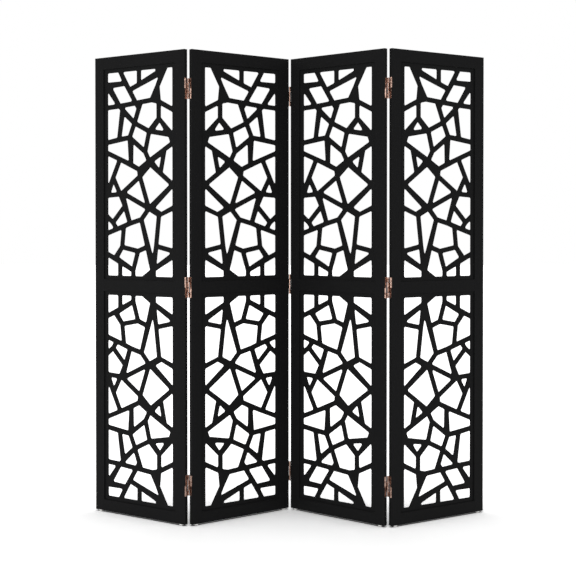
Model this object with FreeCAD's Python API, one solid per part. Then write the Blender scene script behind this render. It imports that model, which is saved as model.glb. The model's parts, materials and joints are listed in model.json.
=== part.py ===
"""Folding screen of four pierced wooden panels, joined by two-way hinges and standing as a zigzag."""
import FreeCAD, Part
import os
from math import cos, pi, sin, sqrt

from FreeCAD import Placement, Rotation, Vector

os.makedirs("parts", exist_ok=True)

# Panel frame, in millimetres
PANEL_WIDTH = 440.0
PANEL_HEIGHT = 1745.0
PANEL_THICKNESS = 16.0
STILE_WIDTH = 43.0
TOP_RAIL_HEIGHT = 46.0
MID_RAIL_HEIGHT = 45.0
BOTTOM_RAIL_HEIGHT = 43.0

# Stub tenons of the rails and their mortises in the stiles
TENON_LENGTH = 24.0
TENON_THICKNESS = 6.0
TENON_OUTER_SHOULDER = 12.0
TENON_TO_GROOVE = 4.0
TENON_CLEARANCE = 0.15
MORTISE_END_CLEARANCE = 1.0

# Fret boards and the grooves that hold them
FRET_THICKNESS = 6.0
FRET_BORDER = 15.0
FRET_RIGHT_BORDER = 19.0
BAR_WIDTH = 18.0
GROOVE_DEPTH = 8.0
GROOVE_SIDE_CLEARANCE = 0.2
GROOVE_END_CLEARANCE = 1.0

# Square glides under the stiles
GLIDE_WIDTH = 13.0
GLIDE_HEIGHT = 5.0
GLIDE_CHAMFER = 1.5

# Two-way hinges
PANEL_GAP = 8.0
HINGE_HEIGHT = 76.0
HINGE_EDGE_DISTANCE = 144.0
AXIS_OFFSET = 0.8
LEAF_THICKNESS = 1.2
LINK_THICKNESS = 1.2
KNUCKLE_CLEARANCE = 0.3
KNUCKLE_END_GAP = 0.3
KNUCKLE_FLATS = 14
PIN_RADIUS = 1.8
PIN_CLEARANCE = 0.05

# Standing position: the direction of each panel in plan, in degrees from the X axis
PANEL_DIRECTIONS = (-33.4, 36.1, -39.0, 31.9)

# Signs of the sides of a gap along X and of the faces of a panel along Y
SIGN = {"left": -1, "right": 1, "front": -1, "back": 1}

# Joint lines: name, face beside which the panels turn, side with the upper barrels except at the bottom hinge
JOINT_LINES = (
    ("12", "back", "left"),
    ("23", "front", "left"),
    ("34", "back", "right"),
)

# Crackle pattern: middles of the bar junctions, in shares of the field across and down from its top left corner
CORNERS = {"TL": (0, 0), "TR": (1, 0), "BL": (0, 1), "BR": (1, 1)}
TOP_POINTS = {"T1": 0.204, "T2": 0.491, "T3": 0.886, "T4": 0.772}
BOTTOM_POINTS = {"B1": 0.193, "B2": 0.399, "B3": 0.592, "B4": 0.712}
LEFT_POINTS = {
    "L1": 0.057, "L2": 0.071, "L3": 0.170, "L4": 0.342, "L5": 0.395,
    "L6": 0.585, "L7": 0.604, "L8": 0.712, "L9": 0.790, "L10": 0.896,
}
RIGHT_POINTS = {"R1": 0.201, "R2": 0.324, "R3": 0.361, "R4": 0.559, "R5": 0.671, "R6": 0.875, "R8": 0.902}
INNER_POINTS = {
    # From the top down; R7 is where two bar edges would meet beyond the right side of the field
    "a": (0.282, 0.057), "b": (0.022, 0.064), "c": (0.340, 0.091), "d": (0.491, 0.068), "e": (0.848, 0.018),
    "f": (0.772, 0.084), "g": (0.684, 0.148), "h": (0.791, 0.158), "i": (0.443, 0.157), "j": (0.519, 0.154),
    "k": (0.487, 0.183), "l": (0.185, 0.166), "m": (0.231, 0.181), "n": (0.421, 0.254), "o": (0.791, 0.240),
    "p": (0.646, 0.298), "q": (0.940, 0.316), "r": (0.962, 0.321), "s": (0.180, 0.330), "t": (0.345, 0.323),
    "u": (0.585, 0.396), "v": (0.646, 0.442), "w": (0.877, 0.388), "x": (0.193, 0.427), "y": (0.367, 0.456),
    "z": (0.491, 0.481), "A": (0.661, 0.456), "B": (0.503, 0.515), "C": (0.816, 0.503), "D": (0.085, 0.517),
    "E": (0.196, 0.599), "F": (0.231, 0.593), "G": (0.640, 0.671), "H": (0.269, 0.658), "I": (0.079, 0.738),
    "K": (0.142, 0.771), "M": (0.253, 0.757), "N": (0.348, 0.743), "O": (0.525, 0.724), "P": (0.794, 0.703),
    "Q": (0.225, 0.859), "S": (0.472, 0.878), "U": (0.617, 0.857), "V": (0.750, 0.853), "W": (0.108, 0.915),
    "X": (0.193, 0.933), "Y": (0.399, 0.972), "Z": (0.715, 0.965), "R7": (1.054, 0.880),
    # Second points of junctions where a bar is wider on one side
    "d2": (0.794, 0.015), "m2": (0.241, 0.195), "o2": (0.807, 0.239), "p2": (0.668, 0.299),
    "t2": (0.373, 0.332), "v2": (0.671, 0.442), "w2": (0.873, 0.397), "C2": (0.816, 0.504),
    "G2": (0.682, 0.670), "P2": (0.829, 0.701), "W2": (0.130, 0.913), "Z2": (0.706, 0.949),
    "Z3": (0.693, 0.973),
}

# Openings between the bars, each clockwise round its junctions
OPENINGS = (
    "TL T1 a L1", "T1 T2 d c", "T2 T4 d2 d", "T3 TR R1 h f", "b a i l", "c e f g i",
    "L2 l L3", "L3 l m s L4", "l i k n", "j g h o p n", "h R1 R2 o", "m2 n t s",
    "n p u t", "o2 q p2", "p r R3 v u", "L4 t y L5", "t2 u v z y", "L5 x L6",
    "x z B F E D", "A R4 G B", "v2 w2 C2", "w R3 R4 C", "D E L7", "B G F",
    "R4 R5 P2 G2", "L7 E H I L8", "F G O N", "H N K I", "L8 I K L9", "G P V Z2 O",
    "P R5 R6 V", "N O U S Q M", "L9 M Q W L10", "Q S Y W2", "V R7 Z", "U Z3 B3 B2 Y S",
    "L10 X B1 BL", "X Y B2 B1", "Z R8 BR B4",
)

# Sizes that follow from those above
HALF_THICKNESS = PANEL_THICKNESS / 2
MID_RAIL_BOTTOM = (PANEL_HEIGHT - TOP_RAIL_HEIGHT + BOTTOM_RAIL_HEIGHT - MID_RAIL_HEIGHT) / 2
AXIS_DEPTH = HALF_THICKNESS + AXIS_OFFSET
KNUCKLE_RADIUS = PANEL_GAP / 2 - KNUCKLE_CLEARANCE
HINGE_BOTTOMS = {
    "top": PANEL_HEIGHT - HINGE_EDGE_DISTANCE - HINGE_HEIGHT / 2,
    "middle": (PANEL_HEIGHT - HINGE_HEIGHT) / 2,
    "bottom": HINGE_EDGE_DISTANCE - HINGE_HEIGHT / 2,
}

# All junctions of the crackle pattern by name
JUNCTIONS = CORNERS | INNER_POINTS
JUNCTIONS |= {name: (share, 0) for name, share in TOP_POINTS.items()}
JUNCTIONS |= {name: (share, 1) for name, share in BOTTOM_POINTS.items()}
JUNCTIONS |= {name: (0, share) for name, share in LEFT_POINTS.items()}
JUNCTIONS |= {name: (1, share) for name, share in RIGHT_POINTS.items()}

# Rails: bottom, top, and whether the lower and the upper edge are grooved
RAILS = {
    "bottom_rail": (0, BOTTOM_RAIL_HEIGHT, False, True),
    "mid_rail": (MID_RAIL_BOTTOM, MID_RAIL_BOTTOM + MID_RAIL_HEIGHT, True, True),
    "top_rail": (PANEL_HEIGHT - TOP_RAIL_HEIGHT, PANEL_HEIGHT, True, False),
}

# Fields between the rails: bottom and top
FIELDS = {
    "lower_fret": (RAILS["bottom_rail"][1], RAILS["mid_rail"][0]),
    "upper_fret": (RAILS["mid_rail"][1], RAILS["top_rail"][0]),
}


def block(x, y, z):
    """Box between two limits on each axis, given in either order."""
    low = Vector(min(x), min(y), min(z))
    high = Vector(max(x), max(y), max(z))
    size = high - low
    return Part.makeBox(size.x, size.y, size.z, low)


def both(half):
    """Limits that lie evenly about the mid plane."""
    return (-half, half)


def rod(radius, y, z):
    """Upright cylinder between two heights, midway between the panels."""
    return Part.makeCylinder(radius, z[1] - z[0], Vector(0, y, z[0]))


def knuckle(y, z):
    """Upright hinge barrel between two heights, midway between the panels, drawn with flats."""
    step = 2 * pi / KNUCKLE_FLATS
    corners = []
    for number in range(KNUCKLE_FLATS):
        angle = (number + 0.5) * step
        corners.append(Vector(KNUCKLE_RADIUS * cos(angle), y + KNUCKLE_RADIUS * sin(angle), z[0]))
    face = Part.Face(Part.makePolygon(corners + corners[:1]))
    return face.extrude(Vector(0, 0, z[1] - z[0]))


def tenon_heights(rail):
    """Bottom and top of a rail's tenons, clear of its grooves and of the ends of the stiles."""
    low, high, grooved_below, grooved_above = RAILS[rail]
    beside_groove = GROOVE_DEPTH + TENON_TO_GROOVE
    low += beside_groove if grooved_below else TENON_OUTER_SHOULDER
    high -= beside_groove if grooved_above else TENON_OUTER_SHOULDER
    return low, high


def left_stile():
    """Upright with a groove beside each field and a mortise for each rail in its inner edge."""
    stile = block((0, STILE_WIDTH), both(HALF_THICKNESS), (0, PANEL_HEIGHT))
    groove_floor = STILE_WIDTH - GROOVE_DEPTH
    groove_half = FRET_THICKNESS / 2 + GROOVE_SIDE_CLEARANCE
    cuts = []
    for low, high in FIELDS.values():
        heights = (low - GROOVE_DEPTH, high + GROOVE_DEPTH)
        cuts.append(block((groove_floor, STILE_WIDTH), both(groove_half), heights))
    mortise_floor = STILE_WIDTH - TENON_LENGTH - MORTISE_END_CLEARANCE
    mortise_half = TENON_THICKNESS / 2 + TENON_CLEARANCE
    for rail in RAILS:
        low, high = tenon_heights(rail)
        heights = (low - TENON_CLEARANCE, high + TENON_CLEARANCE)
        cuts.append(block((mortise_floor, STILE_WIDTH), both(mortise_half), heights))
    return stile.cut(cuts)


def right_stile():
    """The left stile seen in a mirror."""
    return left_stile().mirror(Vector(PANEL_WIDTH / 2, 0, 0), Vector(1, 0, 0))


def rail(name):
    """Cross piece between the stiles, grooved for the fret boards, with a stub tenon at each end."""
    low, high, grooved_below, grooved_above = RAILS[name]
    shoulders = (STILE_WIDTH, PANEL_WIDTH - STILE_WIDTH)
    tenon_ends = (shoulders[0] - TENON_LENGTH, shoulders[1] + TENON_LENGTH)
    groove_half = FRET_THICKNESS / 2 + GROOVE_SIDE_CLEARANCE
    grooves = []
    if grooved_below:
        grooves.append(block(shoulders, both(groove_half), (low, low + GROOVE_DEPTH)))
    if grooved_above:
        grooves.append(block(shoulders, both(groove_half), (high - GROOVE_DEPTH, high)))
    body = block(shoulders, both(HALF_THICKNESS), (low, high)).cut(grooves)
    tenons = block(tenon_ends, both(TENON_THICKNESS / 2), tenon_heights(name))
    return body.fuse(tenons).removeSplitter()


def cross(a, b):
    """Turn from one direction to another in the plane of a board, positive when clockwise from the front."""
    return a.z * b.x - a.x * b.z


def on_field_edge(a, b):
    """Whether the line between two junctions runs along the edge of the field."""
    along_side = a[0] == b[0] and a[0] in (0, 1)
    along_end = a[1] == b[1] and a[1] in (0, 1)
    return along_side or along_end


def opening_corners(names, width, height):
    """Corners of an opening in a field of the given size, half a bar inside the lines between its junctions.

    There are none where the bars are so wide that they close the opening.
    """
    junctions = [JUNCTIONS[name] for name in names.split()]
    middles = [Vector(x * width, 0, -y * height) for x, y in junctions]
    edges = []
    for index, start in enumerate(middles):
        following = (index + 1) % len(middles)
        along = (middles[following] - start).normalize()
        inward = Vector(along.z, 0, -along.x)
        inset = 0 if on_field_edge(junctions[index], junctions[following]) else BAR_WIDTH / 2
        edges.append((start + inward * inset, along))
    corners = []
    for (start, along), (next_start, next_along) in zip(edges, edges[1:] + edges[:1]):
        distance = cross(next_start - start, next_along) / cross(along, next_along)
        corners.append(start + along * distance)
    sides = [corner - before for corner, before in zip(corners, corners[-1:] + corners[:-1])]
    is_open = all(side.dot(along) > 0 for side, (start, along) in zip(sides, edges))
    return corners if is_open else []


def fret_board(low, high, mirrored, upside_down):
    """Thin board in the grooves of one field, cut through between the bars of the crackle pattern."""
    hidden = GROOVE_DEPTH - GROOVE_END_CLEARANCE
    x_limits = (STILE_WIDTH - hidden, PANEL_WIDTH - STILE_WIDTH + hidden)
    z_limits = (low - hidden, high + hidden)
    field_left = STILE_WIDTH + FRET_BORDER
    field_width = PANEL_WIDTH - STILE_WIDTH - FRET_RIGHT_BORDER - field_left
    field_top = high - FRET_BORDER
    field_height = high - low - 2 * FRET_BORDER
    face_y = -FRET_THICKNESS / 2

    def place(corner):
        x = field_left + corner.x
        z = field_top + corner.z
        if mirrored:
            x = PANEL_WIDTH - x
        if upside_down:
            z = low + high - z
        return Vector(x, face_y, z)

    board_corners = [Vector(x_limits[i], face_y, z_limits[j]) for i, j in ((0, 0), (1, 0), (1, 1), (0, 1))]
    outlines = [Part.makePolygon(board_corners + board_corners[:1])]
    for names in OPENINGS:
        corners = [place(corner) for corner in opening_corners(names, field_width, field_height)]
        if corners:
            outlines.append(Part.makePolygon(corners + corners[:1]))
    holed_face = Part.makeFace(outlines, "Part::FaceMakerBullseye")
    return holed_face.extrude(Vector(0, FRET_THICKNESS, 0))


def glides():
    """Two square pads with a chamfered foot, each centred under a stile."""
    half = GLIDE_WIDTH / 2
    pads = []
    for x in (STILE_WIDTH / 2, PANEL_WIDTH - STILE_WIDTH / 2):
        pad = block((x - half, x + half), both(half), (-GLIDE_HEIGHT, 0))
        foot_edges = [edge for edge in pad.Edges if edge.BoundBox.ZMax < -GLIDE_HEIGHT / 2]
        pads.append(pad.makeChamfer(GLIDE_CHAMFER, foot_edges))
    return Part.makeCompound(pads)


def hinge_leaf(side, turning_face, upper):
    """Leaf of a two-way hinge, with its knuckles and the link that swings with it.

    The frame's origin is midway between the panels, at the foot of the hinge. The panels turn about the axis
    beside turning_face. The barrel beside the other face stands still on the leaf, in the upper or the lower
    half. The leaf with the upper one turns on the pin, and the other leaf holds the pin.
    """
    quarter = HINGE_HEIGHT / 4
    end_gap = KNUCKLE_END_GAP / 2
    if upper:
        own_barrel = (3 * quarter, 4 * quarter)
        link = (2 * quarter + end_gap, 3 * quarter - end_gap)
        own_ring = (quarter + end_gap, 2 * quarter - end_gap)
        rings = [(own_ring[0], link[1])]
    else:
        own_barrel = (quarter, 2 * quarter - end_gap)
        link = (0, quarter - end_gap)
        own_ring = (3 * quarter + end_gap, 4 * quarter)
        rings = [link, own_ring]
    turning_y = SIGN[turning_face] * AXIS_DEPTH
    still_y = -turning_y
    plate_inside = PANEL_GAP / 2 - LEAF_THICKNESS
    plate_half = AXIS_DEPTH - sqrt((KNUCKLE_RADIUS + KNUCKLE_CLEARANCE) ** 2 - plate_inside ** 2)
    plate_x = (SIGN[side] * plate_inside, SIGN[side] * PANEL_GAP / 2)
    curl_x = (SIGN[side] * plate_inside, SIGN[side] * KNUCKLE_RADIUS * cos(pi / KNUCKLE_FLATS))
    leaf = block(plate_x, both(plate_half), (0, HINGE_HEIGHT))
    pieces = [
        block(curl_x, (0, still_y), own_barrel),
        block(curl_x, (0, turning_y), own_ring),
        block(both(LINK_THICKNESS / 2), (still_y, turning_y), link),
        knuckle(still_y, (link[0], own_barrel[1])),
    ]
    for ring in rings:
        pieces.append(knuckle(turning_y, ring))
    leaf = leaf.fuse(pieces).removeSplitter()
    if upper:
        return leaf.cut(rod(PIN_RADIUS + PIN_CLEARANCE, turning_y, rings[0]))
    return leaf.fuse(rod(PIN_RADIUS, turning_y, (link[1], own_ring[0])))


def panel_parts(number):
    """The pieces of one panel by name: left edge at x = 0, mid plane at y = 0, foot of the stiles at z = 0."""
    parts = {"left_stile": left_stile(), "right_stile": right_stile(), "glides": glides()}
    for name in RAILS:
        parts[name] = rail(name)
    for name, (low, high) in FIELDS.items():
        mirrored = number % 2 == 0
        upside_down = name == "lower_fret"
        parts[name] = fret_board(low, high, mirrored, upside_down)
    return {f"panel_{number}_{name}": shape for name, shape in parts.items()}


def hinge_leaves(joint, turning_face, upper_side):
    """The hinges of one joint line: the leaves by name, those on the left and those on the right panel."""
    on_left = {}
    on_right = {}
    for place, bottom in HINGE_BOTTOMS.items():
        left_is_upper = (upper_side == "left") != (place == "bottom")
        left_leaf = hinge_leaf("left", turning_face, left_is_upper)
        right_leaf = hinge_leaf("right", turning_face, not left_is_upper)
        to_left_panel = Vector(PANEL_WIDTH + PANEL_GAP / 2, 0, bottom)
        to_right_panel = Vector(-PANEL_GAP / 2, 0, bottom)
        on_left[f"hinge_{joint}_{place}_left_leaf"] = left_leaf.translated(to_left_panel)
        on_right[f"hinge_{joint}_{place}_right_leaf"] = right_leaf.translated(to_right_panel)
    return on_left, on_right


def panel_placements():
    """Where each panel stands, so that neighbours share the axis that they turn about, and those axes."""
    upright = Vector(0, 0, 1)
    placements = [Placement(Vector(0, 0, GLIDE_HEIGHT), Rotation(upright, PANEL_DIRECTIONS[0]))]
    axes = []
    for (joint, turning_face, upper_side), direction in zip(JOINT_LINES, PANEL_DIRECTIONS[1:]):
        turning_y = SIGN[turning_face] * AXIS_DEPTH
        axis = placements[-1].multVec(Vector(PANEL_WIDTH + PANEL_GAP / 2, turning_y, 0))
        rotation = Rotation(upright, direction)
        to_axis = rotation.multVec(Vector(-PANEL_GAP / 2, turning_y, 0))
        placements.append(Placement(axis - to_axis, rotation))
        axes.append(axis)
    return placements, axes


def screen():
    """All pieces by name and the three axes, with the origin on the floor below the middle of the screen."""
    placements, axes = panel_placements()
    by_panel = [panel_parts(number + 1) for number in range(len(placements))]
    for index, (joint, turning_face, upper_side) in enumerate(JOINT_LINES):
        on_left, on_right = hinge_leaves(joint, turning_face, upper_side)
        by_panel[index].update(on_left)
        by_panel[index + 1].update(on_right)
    shapes = {}
    for parts, placement in zip(by_panel, placements):
        for name, shape in parts.items():
            shapes[name] = shape.transformed(placement.toMatrix())
    box = Part.makeCompound(list(shapes.values())).BoundBox
    to_origin = Vector(-box.Center.x, -box.Center.y, -box.ZMin)
    shapes = {name: shape.translated(to_origin) for name, shape in shapes.items()}
    return shapes, [axis + to_origin for axis in axes]


shapes, axes = screen()
for name, shape in shapes.items():
    shape.exportStep(f"parts/{name}.step")
for (joint, turning_face, upper_side), axis in zip(JOINT_LINES, axes):
    print(f"axis of joint {joint}: x {axis.x:.3f}, y {axis.y:.3f}")
whole = Part.makeCompound(list(shapes.values())).BoundBox
print(f"{len(shapes)} pieces, {whole.XLength:.1f} x {whole.YLength:.1f} x {whole.ZLength:.1f} mm")
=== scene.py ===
# %% [markdown]
# # A folding screen of four pierced panels
# The screen stands as a zigzag of four equal panels. Each panel is a black lacquered frame of two stiles and
# three rails, and each of its two fields holds a thin board that is cut through in a crackle pattern.
# Copper-coloured two-way hinges join the panels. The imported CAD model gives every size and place, so this
# script only adds what the eye wants: eased edges, rounded corners, round hinge barrels, screws, finishes,
# light and a camera.

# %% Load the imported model
import json
from math import degrees, pi, radians, tan

import bmesh
import bpy
from mathutils import Matrix, Vector
from mathutils.geometry import delaunay_2d_cdt

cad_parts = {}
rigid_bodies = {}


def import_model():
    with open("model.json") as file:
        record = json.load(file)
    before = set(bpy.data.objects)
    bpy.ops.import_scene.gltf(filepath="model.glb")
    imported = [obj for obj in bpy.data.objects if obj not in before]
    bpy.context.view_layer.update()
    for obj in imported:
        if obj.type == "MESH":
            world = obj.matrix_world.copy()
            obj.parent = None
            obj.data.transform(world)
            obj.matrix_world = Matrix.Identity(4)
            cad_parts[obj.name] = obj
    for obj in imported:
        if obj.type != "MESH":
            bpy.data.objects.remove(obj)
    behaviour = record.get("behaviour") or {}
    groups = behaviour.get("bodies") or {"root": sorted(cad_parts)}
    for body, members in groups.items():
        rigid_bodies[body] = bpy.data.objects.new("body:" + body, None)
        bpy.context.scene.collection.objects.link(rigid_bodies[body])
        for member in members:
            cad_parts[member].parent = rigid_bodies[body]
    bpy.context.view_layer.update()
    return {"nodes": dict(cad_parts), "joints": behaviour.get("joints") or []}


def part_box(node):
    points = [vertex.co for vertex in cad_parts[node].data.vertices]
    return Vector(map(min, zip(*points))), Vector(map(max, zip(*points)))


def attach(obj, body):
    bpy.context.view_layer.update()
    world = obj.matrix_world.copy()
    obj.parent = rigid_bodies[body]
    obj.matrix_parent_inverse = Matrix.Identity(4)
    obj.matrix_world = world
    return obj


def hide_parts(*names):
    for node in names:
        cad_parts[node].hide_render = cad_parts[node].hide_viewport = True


for leftover in list(bpy.data.objects):
    bpy.data.objects.remove(leftover)
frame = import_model()
MM = 0.001

# %% [markdown]
# ## Where the panels stand
# Each panel is turned about the upright axis. It is easiest to work on a panel as a joiner would, lying
# square on the bench: x along its width from the left edge, y towards its back and z up from the foot of its
# stiles. A matrix then carries the finished piece to its place. The direction of a panel is read from the
# face of its upper board, and its edges from its left stile.

# %% A bench for each panel
PANELS = (1, 2, 3, 4)


def panel_matrix(number):
    """Matrix from a panel's bench to its place in the room."""
    board = frame["nodes"][f"panel_{number}_upper_fret"].data
    normal = max(board.polygons, key=lambda face: face.area).normal
    to_back = Vector((normal.x, normal.y, 0)).normalized()
    if to_back.y < 0:
        to_back.negate()
    along = Vector((to_back.y, -to_back.x, 0))
    stile = [vertex.co for vertex in frame["nodes"][f"panel_{number}_left_stile"].data.vertices]
    left = min(point.dot(along) for point in stile)
    depths = [point.dot(to_back) for point in stile]
    middle = (min(depths) + max(depths)) / 2
    foot = min(point.z for point in stile)
    place = along * left + to_back * middle + Vector((0, 0, foot))
    turn = Matrix((along, to_back, Vector((0, 0, 1)))).transposed()
    return Matrix.Translation(place) @ turn.to_4x4()


ON_BENCH = {number: panel_matrix(number) for number in PANELS}
for number, matrix in ON_BENCH.items():
    turn = degrees(matrix.to_euler().z)
    print(f"panel {number}: turned {turn:.2f} degrees, left edge at {matrix.translation}")

# %% [markdown]
# ## Finishes: small helpers
# Colours are written as the hex values that a picture program shows, and one function turns them to the
# linear values that the renderer works with. A second small function adds a shader node, sets its properties,
# and sets or links its inputs, which keeps each finish short enough to read as a recipe. The sizes and depths
# of all patterns are in millimetres.


# %% Helpers for the finishes
def colour(code):
    """Linear colour from an sRGB hex value."""
    channels = [int(code[i:i + 2], 16) / 255 for i in (1, 3, 5)]
    linear = [c / 12.92 if c <= 0.04045 else ((c + 0.055) / 1.055) ** 2.4 for c in channels]
    return (*linear, 1)


def add(tree, kind, inputs=None, **settings):
    """Adds a node with its settings, and sets its inputs or links them, a node by its first output."""
    node = tree.nodes.new(kind)
    for name, value in settings.items():
        setattr(node, name, value)
    for socket, value in (inputs or {}).items():
        if isinstance(value, bpy.types.Node):
            value = value.outputs[0]
        if isinstance(value, bpy.types.NodeSocket):
            tree.links.new(value, node.inputs[socket])
        else:
            node.inputs[socket].default_value = value
    return node


def new_finish(name):
    """A material with an empty node tree."""
    material = bpy.data.materials.new(name)
    material.use_nodes = True
    material.node_tree.nodes.clear()
    return material, material.node_tree


def per_metre(size):
    """How often a pattern of a size in millimetres repeats in a metre."""
    return 1 / (size * MM)


# %% [markdown]
# ## Black satin lacquer on wood
# The frame is solid wood under a sprayed black lacquer with a satin sheen. The lacquer is thin, so long
# shallow pores of the wood still telegraph through it and catch a little light, and the sheen is not quite
# even. The pores have to run along each piece, up the stiles and across the rails, so the finish reads an
# attribute that each piece carries: distance along the grain, across it, and into the wood.

# %% Black satin lacquer on wood
PORE_LENGTH = 45.0
# Pores are really about 0.3 mm wide; they are drawn wider so that they show
PORE_WIDTH = 1.6
PORE_DEPTH = 0.1
PORE_RELIEF = 0.25
SHEEN_PATCH = 90.0
SHEEN_STREAK = 3 * SHEEN_PATCH
LACQUER_IOR = 1.5
LACQUER_SPECULAR = 0.05
wood_lacquer, tree = new_finish("black_satin_lacquer_on_wood")
grain = add(tree, "ShaderNodeAttribute", attribute_name="grain").outputs["Vector"]
along_pores = add(tree, "ShaderNodeMapping", {
    "Vector": grain, "Scale": (per_metre(PORE_LENGTH), per_metre(PORE_WIDTH), per_metre(PORE_WIDTH))})
pores = add(tree, "ShaderNodeTexNoise", {
    "Vector": along_pores, "Scale": 1.0, "Detail": 3.0, "Roughness": 0.6})
in_patches = add(tree, "ShaderNodeMapping", {
    "Vector": grain, "Scale": (per_metre(SHEEN_STREAK), per_metre(SHEEN_PATCH), per_metre(SHEEN_PATCH))})
patches = add(tree, "ShaderNodeTexNoise", {"Vector": in_patches, "Scale": 1.0, "Detail": 2.0})
tone = add(tree, "ShaderNodeMixRGB", {
    "Fac": pores, "Color1": colour("#101011"), "Color2": colour("#191919")})
sheen = add(tree, "ShaderNodeMapRange", {"Value": patches, "To Min": 0.40, "To Max": 0.54})
relief = add(tree, "ShaderNodeBump", {
    "Height": pores, "Strength": PORE_RELIEF, "Distance": PORE_DEPTH * MM})
shader = add(tree, "ShaderNodeBsdfPrincipled", {
    "Base Color": tone, "Roughness": sheen, "Normal": relief, "IOR": LACQUER_IOR,
    "Specular IOR Level": LACQUER_SPECULAR})
add(tree, "ShaderNodeOutputMaterial", {"Surface": shader})
print("finish:", wood_lacquer.name)

# %% [markdown]
# ## Black satin lacquer on cut board
# The boards in the fields are fibreboard, which has no grain. Sprayed lacquer leaves a fine orange peel on
# its faces. The walls of the openings are sawn, and the open fibres drink the lacquer there, so they end up
# duller and a little rougher. That makes two finishes, one for the faces and one for the walls, from one
# recipe.

# %% Black satin lacquer on the faces and the cut walls of the boards
PEEL_SIZE = 4.0
PEEL_DEPTH = 0.05
FIBRE_SIZE = 1.5
FIBRE_DEPTH = 0.12
BOARD_RELIEF = 0.3


def board_finish(name, size, depth, tones, roughness):
    """Lacquer with a fine relief, between two tones and between two values of roughness."""
    lacquer, tree = new_finish(f"black_satin_lacquer_on_board_{name}")
    dark, light = map(colour, tones)
    least, most = roughness
    place = add(tree, "ShaderNodeTexCoord").outputs["Object"]
    peel = add(tree, "ShaderNodeTexNoise", {"Vector": place, "Scale": per_metre(size), "Detail": 2.0})
    patches = add(tree, "ShaderNodeTexNoise", {
        "Vector": place, "Scale": per_metre(SHEEN_PATCH), "Detail": 2.0})
    tone = add(tree, "ShaderNodeMixRGB", {"Fac": patches, "Color1": dark, "Color2": light})
    sheen = add(tree, "ShaderNodeMapRange", {"Value": patches, "To Min": least, "To Max": most})
    relief = add(tree, "ShaderNodeBump", {
        "Height": peel, "Strength": BOARD_RELIEF, "Distance": depth * MM})
    shader = add(tree, "ShaderNodeBsdfPrincipled", {
        "Base Color": tone, "Roughness": sheen, "Normal": relief, "IOR": LACQUER_IOR,
        "Specular IOR Level": LACQUER_SPECULAR})
    add(tree, "ShaderNodeOutputMaterial", {"Surface": shader})
    return lacquer


board_faces = board_finish(
    "faces", PEEL_SIZE, PEEL_DEPTH, tones=("#111112", "#181818"), roughness=(0.42, 0.52))
cut_walls = board_finish(
    "cut_walls", FIBRE_SIZE, FIBRE_DEPTH, tones=("#0d0d0e", "#151515"), roughness=(0.60, 0.75))
BOARD_FINISHES = [board_faces, cut_walls]
print("finishes:", [finish.name for finish in BOARD_FINISHES])

# %% [markdown]
# ## Satin copper plating
# The hinges are rolled steel with a satin copper plating. Copper is a metal, so its colour is in its
# reflections. The rolling leaves faint upright streaks, and handling leaves some places a little browner.

# %% Satin copper plating
STREAK_LENGTH = 20.0
STREAK_WIDTH = 0.7
STREAK_DEPTH = 0.05
STREAK_RELIEF = 0.15
TARNISH_SIZE = 9.0
copper, tree = new_finish("satin_copper_plating")
place = add(tree, "ShaderNodeTexCoord").outputs["Object"]
upright = add(tree, "ShaderNodeMapping", {
    "Vector": place, "Scale": (per_metre(STREAK_WIDTH), per_metre(STREAK_WIDTH), per_metre(STREAK_LENGTH))})
streaks = add(tree, "ShaderNodeTexNoise", {"Vector": upright, "Scale": 1.0, "Detail": 2.0})
tarnish = add(tree, "ShaderNodeTexNoise", {
    "Vector": place, "Scale": per_metre(TARNISH_SIZE), "Detail": 3.0})
# Noise stays near its middle, so a narrow part of its range takes the whole step from brown to bright
worn = add(tree, "ShaderNodeMapRange", {"Value": tarnish, "From Min": 0.35, "From Max": 0.65})
tone = add(tree, "ShaderNodeMixRGB", {
    "Fac": worn, "Color1": colour("#70564b"), "Color2": colour("#ac9184")})
sheen = add(tree, "ShaderNodeMapRange", {"Value": streaks, "To Min": 0.20, "To Max": 0.34})
relief = add(tree, "ShaderNodeBump", {
    "Height": streaks, "Strength": STREAK_RELIEF, "Distance": STREAK_DEPTH * MM})
shader = add(tree, "ShaderNodeBsdfPrincipled", {
    "Base Color": tone, "Roughness": sheen, "Normal": relief, "Metallic": 1.0})
add(tree, "ShaderNodeOutputMaterial", {"Surface": shader})
print("finish:", copper.name)

# %% [markdown]
# ## Pale moulded nylon
# The glides under the stiles are moulded nylon: off-white, half matt, and scuffed a little darker and rougher
# in patches where they have slid over a floor.

# %% Pale moulded nylon
SCUFF_SIZE = 5.0
NYLON_IOR = 1.53
nylon, tree = new_finish("pale_moulded_nylon")
place = add(tree, "ShaderNodeTexCoord").outputs["Object"]
scuffs = add(tree, "ShaderNodeTexNoise", {"Vector": place, "Scale": per_metre(SCUFF_SIZE), "Detail": 4.0})
tone = add(tree, "ShaderNodeMixRGB", {
    "Fac": scuffs, "Color1": colour("#ebeae6"), "Color2": colour("#fbfaf8")})
sheen = add(tree, "ShaderNodeMapRange", {"Value": scuffs, "To Min": 0.62, "To Max": 0.42})
shader = add(tree, "ShaderNodeBsdfPrincipled", {"Base Color": tone, "Roughness": sheen, "IOR": NYLON_IOR})
add(tree, "ShaderNodeOutputMaterial", {"Surface": shader})
print("finish:", nylon.name)

# %% [markdown]
# ## From a solid to a finished piece
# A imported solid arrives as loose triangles. A copy of it is merged, and triangles that lie in one plane are
# dissolved, so that each flat of the real piece is one face again. Small bevels then ease its edges, and
# weighted normals keep the large flats flat while the bevels shade as round.

# %% Helpers for the pieces
NEAR = 0.01 * MM
ONE_PLANE = radians(1)
HARD_EDGE = radians(50)


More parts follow.
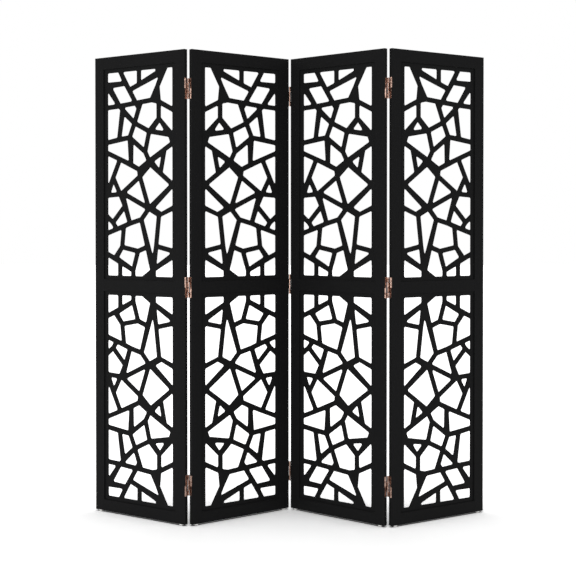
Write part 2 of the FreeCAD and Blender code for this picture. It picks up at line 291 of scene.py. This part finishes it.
def bench_copy(node, number):
    """The merged and simplified copy of a node, on the bench of its panel."""
    bm = bmesh.new()
    bm.from_mesh(frame["nodes"][node].data)
    bmesh.ops.remove_doubles(bm, verts=bm.verts, dist=NEAR)
    bmesh.ops.transform(bm, matrix=ON_BENCH[number].inverted(), verts=bm.verts)
    bmesh.ops.dissolve_limit(bm, angle_limit=ONE_PLANE, verts=bm.verts, edges=bm.edges)
    for edge in bm.edges:
        edge.smooth = True
    for face in bm.faces:
        face.material_index = 0
    return bm


def mesh_piece(name, bm, finishes, matrix):
    """A smooth-shaded object made from a bmesh, carried from the bench to its place."""
    bmesh.ops.transform(bm, matrix=matrix, verts=bm.verts)
    bmesh.ops.recalc_face_normals(bm, faces=bm.faces)
    for face in bm.faces:
        face.smooth = True
    mesh = bpy.data.meshes.new(name)
    bm.to_mesh(mesh)
    bm.free()
    if "custom_normal" in mesh.attributes:
        mesh.attributes.remove(mesh.attributes["custom_normal"])
    for finish in finishes:
        mesh.materials.append(finish)
    piece = bpy.data.objects.new(name, mesh)
    bpy.context.scene.collection.objects.link(piece)
    return piece


def shade_flats_flat(piece):
    """Marks the hard edges and weights the normals by face area."""
    piece.data.set_sharp_from_angle(angle=HARD_EDGE)
    weighted = piece.modifiers.new("weighted normals", "WEIGHTED_NORMAL")
    weighted.keep_sharp = True


# %% [markdown]
# ## Stiles and rails
# A joiner eases the arrises of a frame before it is sprayed: a good half millimetre on the outside edges that
# hands touch, less on the edges round the fields, and hardly anything at the shoulders where a rail meets a
# stile. The Bevel modifier takes a weight per edge, so one modifier gives all three. Which edge is which
# follows from where it lies on the bench.


# %% Measure a frame
def bench_points(node, number):
    """Corners of a node on the bench of its panel."""
    to_bench = ON_BENCH[number].inverted()
    return [to_bench @ vertex.co for vertex in frame["nodes"][node].data.vertices]


left_stile = bench_points("panel_1_left_stile", 1)
right_stile = bench_points("panel_1_right_stile", 1)
STILE_WIDTH = max(point.x for point in left_stile)
HALF_THICKNESS = max(point.y for point in left_stile)
PANEL_HEIGHT = max(point.z for point in left_stile)
PANEL_WIDTH = max(point.x for point in right_stile)
SHOULDERS = (STILE_WIDTH, PANEL_WIDTH - STILE_WIDTH)
print(f"panel: {PANEL_WIDTH:.4f} wide, {PANEL_HEIGHT:.4f} high, stiles {STILE_WIDTH:.4f} wide")

# %% Ease the edges of the stiles and rails
OUTER_ARRIS = 0.6 * MM
INNER_ARRIS = 0.4 * MM
SHOULDER_ARRIS = 0.2 * MM
ARRIS_STEPS = 3
SAME_PLACE = 10 * NEAR
# Steps along, across and into the wood, in metres, so that no two pieces show the same stretch of grain
ALONG_STEP, ACROSS_STEP, INWARD_STEP = 0.7, 0.31, 0.13


def near(value, *targets):
    """Whether a coordinate is one of the given ones."""
    return any(abs(value - target) < SAME_PLACE for target in targets)


def arris(edge, is_stile):
    """Width to which an edge of a frame piece is eased, or none for the hidden ones."""
    points = [vertex.co for vertex in edge.verts]
    on_face = all(near(abs(point.y), HALF_THICKNESS) for point in points)
    if all(near(point.z, 0, PANEL_HEIGHT) for point in points) and near(points[0].z, points[1].z):
        at_shoulder = all(near(point.x, *SHOULDERS) for point in points)
        return SHOULDER_ARRIS if at_shoulder else OUTER_ARRIS
    if all(near(point.x, 0, PANEL_WIDTH) for point in points):
        return OUTER_ARRIS
    if not on_face:
        return None
    if is_stile:
        return INNER_ARRIS
    return SHOULDER_ARRIS if near(points[0].x, points[1].x) else INNER_ARRIS


def frame_piece(number, part):
    """A stile or rail with eased edges and with its grain along its length."""
    node = f"panel_{number}_{part}"
    is_stile = part.endswith("stile")
    bm = bench_copy(node, number)
    weights = bm.edges.layers.float.new("bevel_weight_edge")
    for edge in bm.edges:
        width = arris(edge, is_stile)
        edge[weights] = width / OUTER_ARRIS if width else 0
    grain = bm.verts.layers.float_vector.new("grain")
    shift = Vector((ALONG_STEP * number, ACROSS_STEP * len(part), INWARD_STEP * number))
    for vertex in bm.verts:
        x, y, z = vertex.co
        vertex[grain] = Vector((z, x, y) if is_stile else (x, z, y)) + shift
    piece = mesh_piece(f"{node}_lacquered", bm, [wood_lacquer], ON_BENCH[number])
    bevel = piece.modifiers.new("eased edges", "BEVEL")
    bevel.limit_method = "WEIGHT"
    bevel.width = OUTER_ARRIS
    bevel.segments = ARRIS_STEPS
    shade_flats_flat(piece)
    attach(piece, f"panel_{number}")
    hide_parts(node)
    return piece


for number in PANELS:
    made = [frame_piece(number, part) for part in (
        "left_stile", "right_stile", "top_rail", "mid_rail", "bottom_rail")]
    print(f"panel {number}:", [piece.name for piece in made])

# %% [markdown]
# ## The pierced boards
# A router or a laser cuts the boards, and the tool leaves every corner of an opening slightly round. The
# outlines are taken from the face of one board. Each opening becomes a face whose corners are rounded by a
# vertex bevel; then only its outline is kept. The board is split into triangles along all the outlines, those
# that lie in an opening are left out, and the rest is pulled to the thickness of the board. Insetting the two
# faces while they rise leaves a narrow chamfer round every opening, as sanding does. All eight boards share
# the pattern: it is turned over on every second panel, and upside down in the lower fields.

# %% Outlines of one board
MASTER = "panel_1_upper_fret"


def board_loops():
    """The outlines on the front of the first board: its edge and each opening, anticlockwise."""
    bm = bench_copy(MASTER, 1)
    front = min(vertex.co.y for vertex in bm.verts)
    back_faces = [face for face in bm.faces if not all(near(v.co.y, front) for v in face.verts)]
    bmesh.ops.delete(bm, geom=back_faces, context="FACES")
    rims = [edge for edge in bm.edges if edge.is_boundary]
    loops = []
    while rims:
        edge = rims.pop(0)
        first, last = edge.verts
        points = [first.co.copy()]
        while last is not first:
            points.append(last.co.copy())
            edge = next(other for other in last.link_edges if other in rims)
            rims.remove(edge)
            last = edge.other_vert(last)
        turn = sum(a.x * b.z - b.x * a.z for a, b in zip(points, points[1:] + points[:1]))
        loops.append(points if turn > 0 else points[::-1])
    bm.free()
    loops.sort(key=lambda points: max(p.x for p in points) - min(p.x for p in points))
    return loops[-1], loops[:-1]


board_edge, openings = board_loops()
print("openings in a board:", len(openings))

# %% Round the corners of the openings
CORNER_RADIUS = 5.0 * MM
CORNER_STEPS = 4


def rounded_openings():
    """The outlines of the openings with round corners."""
    bm = bmesh.new()
    for points in openings:
        face = bm.faces.new([bm.verts.new(point) for point in points])
        corners = []
        for corner in face.loops:
            before = corner.link_loop_prev.vert.co - corner.vert.co
            after = corner.link_loop_next.vert.co - corner.vert.co
            corners.append((corner.vert, CORNER_RADIUS / tan(before.angle(after) / 2)))
        for vertex, reach in corners:
            bmesh.ops.bevel(
                bm, geom=[vertex], offset=reach, offset_type="OFFSET", segments=CORNER_STEPS, profile=0.5,
                affect="VERTICES", clamp_overlap=True, material=-1)
    outlines = [[vertex.co.copy() for vertex in face.verts] for face in bm.faces]
    bm.free()
    return outlines


round_openings = rounded_openings()
print("points on the outlines of the openings:", sum(len(outline) for outline in round_openings))

# %% Make the board
# Kind of filling: triangles inside the outlines
INSIDE_OUTLINES = 1
FILL_PRECISION = 0.01 * NEAR
BOARD_RIM = 0.6 * MM
BOARD_FRONT = min(point.y for point in board_edge)
BOARD_THICKNESS = -2 * BOARD_FRONT
# A face of the board looks to the front or back by more than this share, and a wall by less
FACE_OR_WALL = 0.5


def master_board():
    """One finished board on the bench of the first panel, with its walls marked for their own finish."""
    points, regions = [], []
    for outline in (*round_openings, board_edge):
        regions.append(range(len(points), len(points) + len(outline)))
        points += [point.xz for point in outline]
    spots, _, triangles, _, _, owners = delaunay_2d_cdt(points, [], regions, INSIDE_OUTLINES, FILL_PRECISION)
    bm = bmesh.new()
    corners = [bm.verts.new((spot.x, BOARD_FRONT + BOARD_RIM, spot.y)) for spot in spots]
    board_alone = [len(regions) - 1]
    front = [bm.faces.new([corners[i] for i in triangle])
             for triangle, owner in zip(triangles, owners) if owner == board_alone]
    pulled = bmesh.ops.extrude_face_region(bm, geom=front)["geom"]
    back_verts = [item for item in pulled if isinstance(item, bmesh.types.BMVert)]
    back = [item for item in pulled if isinstance(item, bmesh.types.BMFace)]
    bmesh.ops.translate(bm, vec=(0, BOARD_THICKNESS - 2 * BOARD_RIM, 0), verts=back_verts)
    bmesh.ops.recalc_face_normals(bm, faces=bm.faces)
    for face in bm.faces:
        finish = cut_walls if abs(face.normal.y) < FACE_OR_WALL else board_faces
        face.material_index = BOARD_FINISHES.index(finish)
    for side in (front, back):
        bmesh.ops.inset_region(
            bm, faces=side, thickness=BOARD_RIM, depth=BOARD_RIM, use_boundary=True, use_even_offset=True)
    return bm


bm = master_board()
board_mesh = bpy.data.meshes.new("pierced board pattern")
bm.to_mesh(board_mesh)
depths = [vertex.co.y for vertex in bm.verts]
print("faces of a board:", len(bm.faces), "depth:", min(depths), max(depths))
bm.free()

# %% Set the boards in their fields
TURNED_OVER = Matrix.Diagonal((-1, 1, 1, 1))
UPSIDE_DOWN = Matrix.Diagonal((1, 1, -1, 1))


def board_piece(number, field):
    """A board in the upper or lower field of a panel."""
    node = f"panel_{number}_{field}_fret"
    bm = bmesh.new()
    bm.from_mesh(board_mesh)
    if number % 2 == 0:
        over = Matrix.Translation((PANEL_WIDTH, 0, 0)) @ TURNED_OVER
        bmesh.ops.transform(bm, matrix=over, verts=bm.verts)
    if field == "lower":
        low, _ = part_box(node)
        foot = ON_BENCH[number].translation.z
        top = max(vertex.co.z for vertex in bm.verts)
        down = Matrix.Translation((0, 0, low.z - foot + top)) @ UPSIDE_DOWN
        bmesh.ops.transform(bm, matrix=down, verts=bm.verts)
    piece = mesh_piece(f"{node}_lacquered", bm, BOARD_FINISHES, ON_BENCH[number])
    shade_flats_flat(piece)
    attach(piece, f"panel_{number}")
    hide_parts(node)
    return piece


for number in PANELS:
    made = [board_piece(number, field) for field in ("upper", "lower")]
    print(f"panel {number}:", [piece.name for piece in made])
bpy.data.meshes.remove(board_mesh)

# %% [markdown]
# ## Two-way hinges
# A two-way hinge has an axis on either face of the screen. Each leaf is a plate on the edge of a stile, with
# one knuckle rolled at its front and one at its back, and two flat links cross the gap between the axes. So
# each axis carries four knuckles, stacked in quarters of the hinge's height, with a pin through them. The
# knuckles are turned: a small profile is spun round the axis, which gives a bore and rounded rims in one go.
# Plates, rolled tongues and links are flat bars with eased edges.

# %% Shapes that the hinges are made of
KNUCKLE_RADIUS = 3.62 * MM
BORE_RADIUS = 1.85 * MM
RIM_RADIUS = 0.35 * MM
# How far the middle of a rounded rim lies inside the corner that it takes off
RIM_MIDDLE = 0.3 * RIM_RADIUS
PIN_RADIUS = 1.8 * MM
RIVET_DOME = 0.5 * MM
# Radius of a rivet's dome part of the way up, and its height there
DOME_RADIUS = 0.7 * PIN_RADIUS
DOME_SHOULDER = 0.6 * RIVET_DOME
TURNING_STEPS = 40
EASING_STEPS = 2


def turned(bm, profile, centre):
    """Spins a closed profile of radius and height round an upright axis."""
    corners = [bm.verts.new((centre.x + radius, centre.y, height)) for radius, height in profile]
    sides = zip(corners, corners[1:] + corners[:1])
    edges = [bm.edges.new(side) for side in sides if any(corner.co.x > centre.x for corner in side)]
    bmesh.ops.spin(
        bm, geom=corners + edges, cent=centre, axis=(0, 0, 1), angle=2 * pi, steps=TURNING_STEPS,
        use_merge=True)


def knuckle(bm, y, low, high):
    """A bored knuckle with rounded outer rims."""
    flat = KNUCKLE_RADIUS - RIM_RADIUS
    middle = KNUCKLE_RADIUS - RIM_MIDDLE
    profile = [
        (BORE_RADIUS, low), (flat, low), (middle, low + RIM_MIDDLE), (KNUCKLE_RADIUS, low + RIM_RADIUS),
        (KNUCKLE_RADIUS, high - RIM_RADIUS), (middle, high - RIM_MIDDLE), (flat, high), (BORE_RADIUS, high)]
    turned(bm, profile, Vector((0, y, 0)))


def pin(bm, y, low, high, dome_low, dome_high):
    """A pin through the knuckles, with a domed rivet end where it comes to the end of the hinge."""
    foot = [(0, low - RIVET_DOME), (DOME_RADIUS, low - DOME_SHOULDER)] if dome_low else [(0, low)]
    head = [(DOME_RADIUS, high + DOME_SHOULDER), (0, high + RIVET_DOME)] if dome_high else [(0, high)]
    turned(bm, [*foot, (PIN_RADIUS, low), (PIN_RADIUS, high), *head], Vector((0, y, 0)))


def bar(bm, x, y, z, ease):
    """A flat bar between two limits on each axis, with eased edges."""
    low = Vector((min(x), min(y), min(z)))
    high = Vector((max(x), max(y), max(z)))
    place = Matrix.Translation((low + high) / 2) @ Matrix.Diagonal((*(high - low), 1))
    corners = bmesh.ops.create_cube(bm, size=1, matrix=place)["verts"]
    edges = list(dict.fromkeys(edge for corner in corners for edge in corner.link_edges))
    bmesh.ops.bevel(
        bm, geom=edges, offset=ease, offset_type="OFFSET", segments=EASING_STEPS, profile=0.5,
        affect="EDGES", material=-1)


# %% [markdown]
# The leaf on one side of a hinge has its own knuckles in the upper half of the still axis, the leaf on the
# other side in the lower half. Round the turning axis they take turns. Nothing turns round the still axis in
# this model, so each leaf keeps the link that swings with it.

# %% One leaf of a hinge
AXIS_DEPTH = 8.8 * MM
HALF_GAP = 4.0 * MM
LEAF_THICKNESS = 1.2 * MM
HALF_LINK = LEAF_THICKNESS / 2
LINK_CLEARANCE = 0.3 * MM
LINK_REACH = AXIS_DEPTH - BORE_RADIUS - LINK_CLEARANCE
PLATE_HALF = 5.9 * MM
PLATE_EASE = 0.2 * MM
KNUCKLE_GAP = 0.15 * MM
MERGED = 0.1 * NEAR
# How far a joined face lies inside its neighbour, so that no two faces share a plane
HIDDEN = 0.05 * MM
SIDE_SIGN = {"left": -1, "right": 1}
# Quarters of the height for a leaf's knuckle on the still axis, its link, and its knuckle on the turning axis
UPPER_QUARTERS = (3, 2, 1)
LOWER_QUARTERS = (1, 0, 3)


def hinge_leaf(side, height, turning_y, upper):
    """A leaf with its knuckles, its link and its pins, on the bench of a hinge."""
    sign = SIDE_SIGN[side]
    still_y = -turning_y
    quarters = [(i * height / 4 + KNUCKLE_GAP, (i + 1) * height / 4 - KNUCKLE_GAP) for i in range(4)]
    inside = [(low + HIDDEN, high - HIDDEN) for low, high in quarters]
    own_still, link, own_turning = UPPER_QUARTERS if upper else LOWER_QUARTERS
    inner = sign * (HALF_GAP - LEAF_THICKNESS)
    bm = bmesh.new()
    bar(bm, (inner, sign * HALF_GAP), (-PLATE_HALF, PLATE_HALF), (0, height), PLATE_EASE)
    rolled = (inner + sign * HIDDEN, sign * (KNUCKLE_RADIUS - HIDDEN))
    bar(bm, rolled, (0, still_y), inside[own_still], PLATE_EASE)
    bar(bm, rolled, (0, turning_y), inside[own_turning], PLATE_EASE)
    bar(bm, (-HALF_LINK, HALF_LINK), (-LINK_REACH, LINK_REACH), inside[link], PLATE_EASE)
    for quarter in (own_still, link):
        knuckle(bm, still_y, *quarters[quarter])
    for quarter in (own_turning, link):
        knuckle(bm, turning_y, *quarters[quarter])
    half = height / 2
    if upper:
        pin(bm, still_y, half + KNUCKLE_GAP, height, False, True)
    else:
        pin(bm, still_y, 0, half - KNUCKLE_GAP, True, False)
        pin(bm, turning_y, 0, height, True, True)
    bmesh.ops.remove_doubles(bm, verts=bm.verts, dist=MERGED)
    return bm


# %% Leaves of all the hinges
# Panels on the left and right of a joint line, and the side whose leaf is the upper one, but at the bottom
# hinge the lower one
HINGE_LINES = {
    "12": {"left": 1, "right": 2, "upper": "left"},
    "23": {"left": 2, "right": 3, "upper": "left"},
    "34": {"left": 3, "right": 4, "upper": "right"},
}
HINGE_PLACES = ("top", "middle", "bottom")


def hinge_bench(number, side, foot):
    """Matrix from the bench of a hinge: x across the gap, y to the back, z up from the hinge's foot."""
    gap_middle = PANEL_WIDTH + HALF_GAP if side == "left" else -HALF_GAP
    return ON_BENCH[number] @ Matrix.Translation((gap_middle, 0, foot - ON_BENCH[number].translation.z))


def leaf_piece(line, place, side):
    """One plated leaf in its place."""
    number = HINGE_LINES[line][side]
    node = f"hinge_{line}_{place}_{side}_leaf"
    low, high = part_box(node)
    joint = next(joint for joint in frame["joints"] if joint["name"] == f"fold_{line}")
    axis = ON_BENCH[number].inverted() @ Vector(joint["pos_m"])
    upper = (side == HINGE_LINES[line]["upper"]) != (place == "bottom")
    bm = hinge_leaf(side, high.z - low.z, axis.y, upper)
    piece = mesh_piece(f"{node}_plated", bm, [copper], hinge_bench(number, side, low.z))
    shade_flats_flat(piece)
    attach(piece, f"panel_{number}")
    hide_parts(node)
    return piece


for line in HINGE_LINES:
    made = [leaf_piece(line, place, side) for place in HINGE_PLACES for side in SIDE_SIGN]
    print(f"joint line {line}: {len(made)} leaves, the first {made[0].dimensions.z:.4f} high")

# %% [markdown]
# ## Hinge screws
# Four countersunk screws hold every plate to the edge of its stile. Their heads stand slightly proud of the
# plate. One head is turned like the knuckles, and a cross for the screwdriver is cut out of it with a
# Boolean. The copies are turned by different angles, because a screw is driven until it is tight, and not
# until its cross is upright.

# %% One screw head
SCREW_RADIUS = 2.9 * MM
SCREW_RISE = 0.42 * MM
SCREW_SEAT = 0.3 * MM
# Outline of the dome from its rim to its top: share of the radius, and height above the plate
SCREW_DOME = (
    (1.0, 0.04 * MM), (0.96, 0.12 * MM), (0.8, 0.6 * SCREW_RISE), (0.55, 0.85 * SCREW_RISE),
    (0.3, 0.97 * SCREW_RISE), (0, SCREW_RISE))
CROSS_REACH = 1.75 * MM
CROSS_HALF = 0.33 * MM
CROSS_DEPTH = 0.36 * MM


def plain_head():
    """A screw head without its cross, looking up, with the face of the plate at height nought."""
    bm = bmesh.new()
    dome = [(share * SCREW_RADIUS, height) for share, height in SCREW_DOME]
    turned(bm, [(0, -SCREW_SEAT), (SCREW_RADIUS, -SCREW_SEAT), *dome], Vector((0, 0, 0)))
    bmesh.ops.remove_doubles(bm, verts=bm.verts, dist=MERGED)
    return mesh_piece("screw head", bm, [], Matrix.Identity(4))


def driver_cross():
    """The cross that is cut out of a screw head, from the foot of the cut to well above the head."""
    bm = bmesh.new()
    arm = [(CROSS_HALF, CROSS_HALF), (CROSS_REACH, CROSS_HALF), (CROSS_REACH, -CROSS_HALF)]
    quarter_turns = [Matrix.Rotation(-i * pi / 2, 2) for i in range(4)]
    outline = [turn @ Vector(corner) for turn in quarter_turns for corner in arm]
    foot = bm.faces.new([bm.verts.new((*point, SCREW_RISE - CROSS_DEPTH)) for point in outline])
    raised = bmesh.ops.extrude_face_region(bm, geom=[foot])["geom"]
    top = [item for item in raised if isinstance(item, bmesh.types.BMVert)]
    bmesh.ops.translate(bm, vec=(0, 0, 2 * SCREW_RISE), verts=top)
    return mesh_piece("screwdriver cross", bm, [], Matrix.Identity(4))


def screw_head():
    """Mesh of a screw head with its cross."""
    head = plain_head()
    cross = driver_cross()
    cut = head.modifiers.new("cross recess", "BOOLEAN")
    cut.object = cross
    bpy.context.view_layer.update()
    ready = head.evaluated_get(bpy.context.evaluated_depsgraph_get())
    mesh = bpy.data.meshes.new_from_object(ready)
    for helper in (head, cross):
        bpy.data.meshes.remove(helper.data)
    return mesh


screw_mesh = screw_head()
print("faces of a screw head:", len(screw_mesh.polygons))

# %% Screws in the plates
SCREWS_PER_PLATE = 4
SCREW_TURN = radians(37)


def screws_piece(line, place, side):
    """The screws of one plate in their places."""
    number = HINGE_LINES[line][side]
    low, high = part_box(f"hinge_{line}_{place}_{side}_leaf")
    sign = SIDE_SIGN[side]
    face = sign * (HALF_GAP - LEAF_THICKNESS)
    pitch = (high.z - low.z) / SCREWS_PER_PLATE
    to_gap = Matrix.Rotation(-sign * pi / 2, 4, "Y")
    bm = bmesh.new()
    for index in range(SCREWS_PER_PLATE):
        before = set(bm.verts)
        bm.from_mesh(screw_mesh)
        driven = Matrix.Rotation((index + number) * SCREW_TURN, 4, "Z")
        spot = Matrix.Translation((face, 0, (index + 0.5) * pitch))
        added = [vertex for vertex in bm.verts if vertex not in before]
        bmesh.ops.transform(bm, matrix=spot @ to_gap @ driven, verts=added)
    piece = mesh_piece(
        f"hinge_{line}_{place}_{side}_screws", bm, [copper], hinge_bench(number, side, low.z))
    shade_flats_flat(piece)
    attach(piece, f"panel_{number}")
    return piece


for line in HINGE_LINES:
    made = [screws_piece(line, place, side) for place in HINGE_PLACES for side in SIDE_SIGN]
    print(f"joint line {line}: screws in {len(made)} plates")
bpy.data.meshes.remove(screw_mesh)

# %% [markdown]
# ## Glides
# A square nylon pad is nailed under each stile. The copies keep the chamfered foot of the solids and get
# softly rounded moulded edges.

# %% Glides
GLIDE_ROUNDING = 0.7 * MM
GLIDE_STEPS = 3
for number in PANELS:
    node = f"panel_{number}_glides"
    piece = mesh_piece(f"{node}_moulded", bench_copy(node, number), [nylon], ON_BENCH[number])
    rounding = piece.modifiers.new("moulded edges", "BEVEL")
    rounding.width = GLIDE_ROUNDING
    rounding.segments = GLIDE_STEPS
    shade_flats_flat(piece)
    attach(piece, f"panel_{number}")
    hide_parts(node)
    print(piece.name, [round(size, 4) for size in piece.dimensions])

# %% [markdown]
# ## Floor
# The picture has a white ground with only a faint shadow round the feet. The floor is a pale sheet that is
# lit like everything else. What the camera sees of it is lifted to white, and a little more so behind the
# screen, which paints light over the screen's shadow there. The narrow gap under the panels gets painted
# shade instead: an ambient occlusion node darkens the floor's colour where something is close above it.

# %% Floor
FLOOR_SIZE = 60.0
FLOOR_LIFT = 1.75
BACKDROP_LIFT = 2.4
# Distances behind the middle of the screen between which the lift grows
BACKDROP_START = 0.05
BACKDROP_END = 0.4
# How close above the floor a thing paints shade into the floor's colour, and how sharply
PAINTED_SHADE_REACH = 8.0 * MM
PAINTED_SHADE_POWER = 2.0
floor_finish, tree = new_finish("pale_studio_floor")
rays = add(tree, "ShaderNodeLightPath").outputs
seen = add(tree, "ShaderNodeMath", {
    0: rays["Is Camera Ray"], 1: rays["Is Glossy Ray"]}, operation="MAXIMUM")
seen = add(tree, "ShaderNodeMath", {0: seen, 1: rays["Is Transmission Ray"]}, operation="MAXIMUM")
place = add(tree, "ShaderNodeTexCoord").outputs["Object"]
depth = add(tree, "ShaderNodeSeparateXYZ", {"Vector": place}).outputs["Y"]
lift = add(tree, "ShaderNodeMapRange", {
    "Value": depth, "From Min": BACKDROP_START, "From Max": BACKDROP_END, "To Min": FLOOR_LIFT,
    "To Max": BACKDROP_LIFT})
# Painted shade: the floor's colour is darkened where something stands close above it
covered = add(tree, "ShaderNodeAmbientOcclusion", {"Distance": PAINTED_SHADE_REACH}).outputs["AO"]
painted_gap_shade = add(tree, "ShaderNodeMath", {0: covered, 1: PAINTED_SHADE_POWER}, operation="POWER")
shade = add(tree, "ShaderNodeMath", {0: lift, 1: painted_gap_shade}, operation="MULTIPLY")
pale_sheet = add(tree, "ShaderNodeBsdfDiffuse", {"Color": colour("#e8e8e8")})
white_sheet = add(tree, "ShaderNodeBsdfDiffuse", {"Color": shade})
mixed = add(tree, "ShaderNodeMixShader", {0: seen, 1: pale_sheet, 2: white_sheet})
add(tree, "ShaderNodeOutputMaterial", {"Surface": mixed})
bm = bmesh.new()
bmesh.ops.create_grid(bm, x_segments=1, y_segments=1, size=FLOOR_SIZE / 2)
floor = mesh_piece("studio_floor", bm, [floor_finish], Matrix.Identity(4))
print("floor:", floor.dimensions[:2])

# %% [markdown]
# ## Light
# Even light fills the room, and one large soft lamp stands low at the front left, so the panels that face
# left are the lighter ones. Metal shows the white of the room. Only the side of the room behind the camera is
# dimmer in reflections, and the hinges mirror it.

# %% Light of the room
ROOM_LIGHT = 0.6
WHITE = 1.0
CAMERA_SIDE = 0.15
# Directions as their share towards the back: straight to the camera's side, and sixty degrees off it
STRAIGHT = -1.0
ASIDE = -0.5
world = bpy.data.worlds.new("white studio")
bpy.context.scene.world = world
world.use_nodes = True
tree = world.node_tree
tree.nodes.clear()
rays = add(tree, "ShaderNodeLightPath").outputs
way = add(tree, "ShaderNodeTexCoord").outputs["Generated"]
to_back = add(tree, "ShaderNodeSeparateXYZ", {"Vector": way}).outputs["Y"]
mirrored = add(tree, "ShaderNodeMapRange", {
    "Value": to_back, "From Min": STRAIGHT, "From Max": ASIDE, "To Min": CAMERA_SIDE, "To Max": WHITE})
lit = add(tree, "ShaderNodeMapRange", {
    "Value": rays["Is Glossy Ray"], "To Min": ROOM_LIGHT, "To Max": mirrored})
seen = add(tree, "ShaderNodeMath", {
    0: rays["Is Camera Ray"], 1: rays["Is Transmission Ray"]}, operation="MAXIMUM")
level = add(tree, "ShaderNodeMath", {0: lit, 1: seen}, operation="MAXIMUM")
ground = add(tree, "ShaderNodeBackground", {"Color": colour("#ffffff"), "Strength": level})
add(tree, "ShaderNodeOutputWorld", {"Surface": ground})
print("light of the room:", ROOM_LIGHT)

# %% Lamp
LAMP_SIZE = 4.0
LAMP_POWER = 380.0
LAMP_PLACE = Vector((-2.6, -8.3, 1.6))
LAMP_AIM = Vector((0, 0, 0.8))
lamp = bpy.data.lights.new("soft lamp", "AREA")
lamp.shape = "DISK"
lamp.size = LAMP_SIZE
lamp.energy = LAMP_POWER
lamp_stand = bpy.data.objects.new("soft lamp", lamp)
lamp_stand.location = LAMP_PLACE
lamp_stand.rotation_euler = (LAMP_AIM - LAMP_PLACE).to_track_quat("-Z", "Y").to_euler()
bpy.context.scene.collection.objects.link(lamp_stand)
print("lamp at", LAMP_PLACE)

# %% [markdown]
# ## Camera
# The camera stands at chest height, a good four metres away, and looks very slightly down. Its place, lens
# and shift come from the upright edges and corners of the panels in the picture.

# %% Camera
SENSOR_WIDTH = 36.0
LENS = 71.42
UPRIGHT_SHIFT = -0.0787
CAMERA_PLACE = Vector((-0.0031, -4.3096, 1.0936))
LOOKING_DOWN = radians(0.71)
camera = bpy.data.cameras.new("camera at chest height")
camera.sensor_width = SENSOR_WIDTH
camera.lens = LENS
camera.shift_y = UPRIGHT_SHIFT
camera_stand = bpy.data.objects.new("camera at chest height", camera)
camera_stand.location = CAMERA_PLACE
camera_stand.rotation_euler = (pi / 2 - LOOKING_DOWN, 0, 0)
bpy.context.scene.collection.objects.link(camera_stand)
bpy.context.scene.camera = camera_stand
bpy.context.scene.view_settings.view_transform = "Standard"
print("camera:", LENS, "mm lens at", CAMERA_PLACE)
